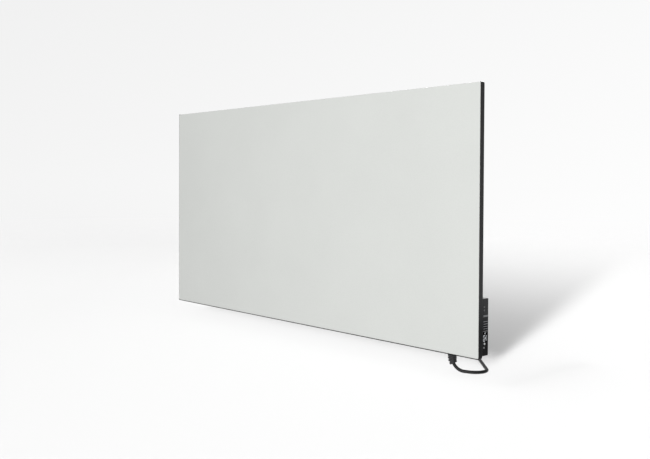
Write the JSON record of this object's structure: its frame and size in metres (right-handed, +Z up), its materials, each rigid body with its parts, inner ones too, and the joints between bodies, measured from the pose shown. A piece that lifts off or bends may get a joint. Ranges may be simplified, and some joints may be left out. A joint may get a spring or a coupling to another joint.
{
  "type": "ceramic panel heater",
  "caption": "Flat wall-hung electric heater: pale ceramic tile in a black steel tray, thermostat box with buttons and display behind its lower right edge, mains lead with plug.",
  "frame": {"origin": "the point on the wall plane midway between the two hanging screws", "axes": "+X along the panel towards the thermostat's buttons, +Y from the tile's face towards the wall, +Z up"},
  "size_m": [1.2, 0.2417, 0.6445],
  "materials": {
    "tile": "satin",
    "tray": "fine powder coat",
    "gasket": "matte",
    "conductor": "rolled",
    "mica": "satin",
    "fibre": "ceramic fibre felt",
    "foil": "bright",
    "box": "fine texture",
    "fascia": "fine texture",
    "light_bar": "frosted",
    "display": "polished",
    "button": "satin",
    "button_white": "satin",
    "switch": "satin",
    "board": "solder mask",
    "relay": "moulded",
    "capacitor": "moulded",
    "terminal": "moulded",
    "cord": "satin sheath",
    "plug": "moulded",
    "pin": "nickel plated",
    "hanger": "powder coat",
    "rivet": "bright",
    "screw": "zinc plated",
    "black_screw": "black zinc",
    "bumper": "matte",
    "live": "sheath",
    "neutral": "sheath",
    "earth": "sheath",
    "lead": "glass-fibre sleeve",
    "sensor": "dipped",
    "sensor_lead": "sheath"
  },
  "bodies": {
    "heater": {"ceramic_panel": "tile", "casing_tray": "tray", "perimeter_gasket": "gasket", "heating_conductor": "conductor", "mica_sheet": "mica", "insulation_board": "fibre", "reflector_foil": "foil", "control_heat_pad": "fibre", "thermal_cutout": "switch", "temperature_sensor": "sensor", "control_housing": "box", "control_rear_cover": "box", "control_fascia": "fascia", "status_light_bar": "light_bar", "display_window": "display", "display_module": "switch", "display_board": "board", "power_board": "board", "relay": "relay", "supply_capacitor": "capacitor", "terminal_block": "terminal", "strain_relief": "cord", "cord_run": "cord", "cord_hank": "cord", "cord_tie": "plug", "plug_body": "plug", "plug_pin_left": "pin", "plug_pin_right": "pin", "hanger_left": "hanger", "hanger_right": "hanger", "wall_bumper_left": "bumper", "wall_bumper_right": "bumper", "bumper_screw_left": "screw", "bumper_screw_right": "screw", "lead_live": "lead", "lead_neutral": "lead", "sensor_lead": "sensor_lead", "core_live": "live", "core_neutral": "neutral", "core_earth": "earth", "tact_switch_up": "switch", "tact_switch_down": "switch", "tact_switch_set": "switch", "tact_switch_power": "switch", "cover_screw_1": "black_screw", "cover_screw_2": "black_screw", "cover_screw_3": "black_screw", "cover_screw_4": "black_screw", "hanger_rivet_1": "rivet", "hanger_rivet_2": "rivet", "hanger_rivet_3": "rivet", "hanger_rivet_4": "rivet", "hanger_rivet_5": "rivet", "hanger_rivet_6": "rivet", "hanger_rivet_7": "rivet", "hanger_rivet_8": "rivet"},
    "button_up_body": {"button_up": "button"},
    "button_down_body": {"button_down": "button"},
    "button_set_body": {"button_set": "button_white"},
    "button_power_body": {"button_power": "button"}
  },
  "joints": [
    {"name": "button_up_press", "type": "slide", "parent": "heater", "child": "button_up_body", "axis": [-1, 0, 0], "range_m": [0, 0.0006], "stiffness_N_per_m": 600},
    {"name": "button_down_press", "type": "slide", "parent": "heater", "child": "button_down_body", "axis": [-1, 0, 0], "range_m": [0, 0.0006], "stiffness_N_per_m": 600},
    {"name": "button_set_press", "type": "slide", "parent": "heater", "child": "button_set_body", "axis": [-1, 0, 0], "range_m": [0, 0.0006], "stiffness_N_per_m": 600},
    {"name": "button_power_press", "type": "slide", "parent": "heater", "child": "button_power_body", "axis": [-1, 0, 0], "range_m": [0, 0.0006], "stiffness_N_per_m": 600}
  ]
}
